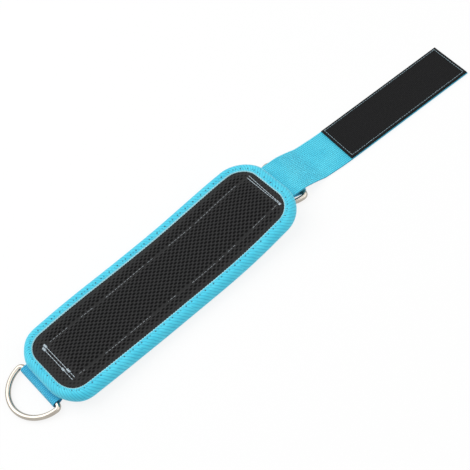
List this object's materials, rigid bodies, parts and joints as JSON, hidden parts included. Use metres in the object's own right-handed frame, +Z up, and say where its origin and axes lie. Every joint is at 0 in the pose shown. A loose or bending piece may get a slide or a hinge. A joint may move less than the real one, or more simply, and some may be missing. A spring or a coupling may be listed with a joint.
{
  "type": "ankle cuff",
  "caption": "Padded ankle cuff with a mesh lining, a long strap with a hook patch, and a D-ring at each end of the pad, lying open",
  "frame": {"origin": "under the middle of the pad, on the surface that the open cuff lies on", "axes": "+X along the pad towards the strap tip, +Y across the pad, +Z up, to the skin side of the lining"},
  "size_m": [0.4974, 0.087, 0.0206],
  "materials": {
    "foam": "matte, open-cell foam",
    "mesh": "matte spacer mesh",
    "cover": "matte knitted fabric",
    "binding": "woven twill tape, slight sheen",
    "webbing": "woven webbing, slight sheen",
    "carrier": "woven webbing",
    "tab_webbing": "woven webbing, cyan, in shadow below the pad",
    "loop_pile": "brushed loop pile",
    "hook_tape": "matte hook tape",
    "thread": "spun thread",
    "nickel": "bright nickel plate"
  },
  "bodies": {
    "pad_3": {"foam_core_3": "foam", "mesh_lining_3": "mesh", "back_cover_3": "cover", "edge_binding_3": "binding", "carrier_webbing_3": "carrier", "loop_patch_3": "loop_pile"},
    "pad_2": {"foam_core_2": "foam", "mesh_lining_2": "mesh", "back_cover_2": "cover", "edge_binding_2": "binding", "carrier_webbing_2": "carrier", "loop_patch_2": "loop_pile"},
    "pad_1": {"foam_core_1": "foam", "mesh_lining_1": "mesh", "back_cover_1": "cover", "edge_binding_1": "binding", "carrier_webbing_1": "carrier", "end_ring_tab": "tab_webbing", "ring_tack_stitches": "thread"},
    "pad_4": {"foam_core_4": "foam", "mesh_lining_4": "mesh", "back_cover_4": "cover", "edge_binding_4": "binding", "carrier_webbing_4": "carrier", "loop_patch_4": "loop_pile"},
    "pad_5": {"foam_core_5": "foam", "mesh_lining_5": "mesh", "back_cover_5": "cover", "edge_binding_5": "binding", "carrier_webbing_5": "carrier", "side_ring_tab": "tab_webbing", "strap_root": "webbing", "strap_tack_stitches": "thread"},
    "end_ring": {"end_ring": "nickel"},
    "side_ring": {"side_ring": "nickel"},
    "strap_1": {"strap_slope": "webbing"},
    "strap_2": {"strap_flat": "webbing"},
    "strap_3": {"strap_grip_1": "webbing", "hook_patch_1": "hook_tape", "hook_stitches_1": "thread"},
    "strap_4": {"strap_grip_2": "webbing", "hook_patch_2": "hook_tape", "hook_stitches_2": "thread"},
    "strap_5": {"strap_grip_3": "webbing", "hook_patch_3": "hook_tape", "hook_stitches_3": "thread"}
  },
  "joints": [
    {"name": "wrap", "type": "hinge", "parent": "pad_3", "child": "pad_4", "pos_m": [0.0266, 0, 0.0122], "axis": [0, -1, 0], "range_deg": [0, 58]},
    {"name": "wrap_strap_end", "type": "hinge", "parent": "pad_4", "child": "pad_5", "pos_m": [0.07973, 0, 0.015], "axis": [0, -1, 0], "range_deg": [0, 58]},
    {"name": "wrap_ring_side", "type": "hinge", "parent": "pad_3", "child": "pad_2", "pos_m": [-0.0266, 0, 0.0122], "axis": [0, 1, 0], "range_deg": [0, 58]},
    {"name": "wrap_ring_end", "type": "hinge", "parent": "pad_2", "child": "pad_1", "pos_m": [-0.07976, 0, 0.0142], "axis": [0, 1, 0], "range_deg": [0, 58]},
    {"name": "strap_curl", "type": "hinge", "parent": "pad_5", "child": "strap_1", "pos_m": [0.13559, -0.00269, 0.01175], "axis": [-0.075, -0.9972, 0], "range_deg": [0, 22]},
    {"name": "strap_curl_2", "type": "hinge", "parent": "strap_1", "child": "strap_2", "pos_m": [0.1689, -0.0052, 0.0015], "axis": [-0.075, -0.9972, 0], "range_deg": [0, 22]},
    {"name": "strap_curl_3", "type": "hinge", "parent": "strap_2", "child": "strap_3", "pos_m": [0.19782, -0.00737, 0.0032], "axis": [-0.075, -0.9972, 0], "range_deg": [0, 22]},
    {"name": "strap_curl_4", "type": "hinge", "parent": "strap_3", "child": "strap_4", "pos_m": [0.24236, -0.01072, 0.0032], "axis": [-0.075, -0.9972, 0], "range_deg": [0, 22]},
    {"name": "strap_curl_5", "type": "hinge", "parent": "strap_4", "child": "strap_5", "pos_m": [0.2869, -0.01407, 0.0032], "axis": [-0.075, -0.9972, 0], "range_deg": [0, 22]},
    {"name": "end_ring_swing", "type": "hinge", "parent": "pad_1", "child": "end_ring", "pos_m": [-0.132, 0, 0.0038], "axis": [0, 1, 0], "range_deg": [-150, 35]},
    {"name": "side_ring_swing", "type": "hinge", "parent": "pad_5", "child": "side_ring", "pos_m": [0.143, -0.0025, 0.0038], "axis": [0, -1, 0], "range_deg": [0, 150]}
  ],
  "couplings": [
    {"joint": "wrap_strap_end", "follows": "wrap", "ratio": 1},
    {"joint": "wrap_ring_side", "follows": "wrap", "ratio": 1},
    {"joint": "wrap_ring_end", "follows": "wrap", "ratio": 1},
    {"joint": "strap_curl_2", "follows": "strap_curl", "ratio": 1},
    {"joint": "strap_curl_3", "follows": "strap_curl", "ratio": 1},
    {"joint": "strap_curl_4", "follows": "strap_curl", "ratio": 1},
    {"joint": "strap_curl_5", "follows": "strap_curl", "ratio": 1}
  ]
}
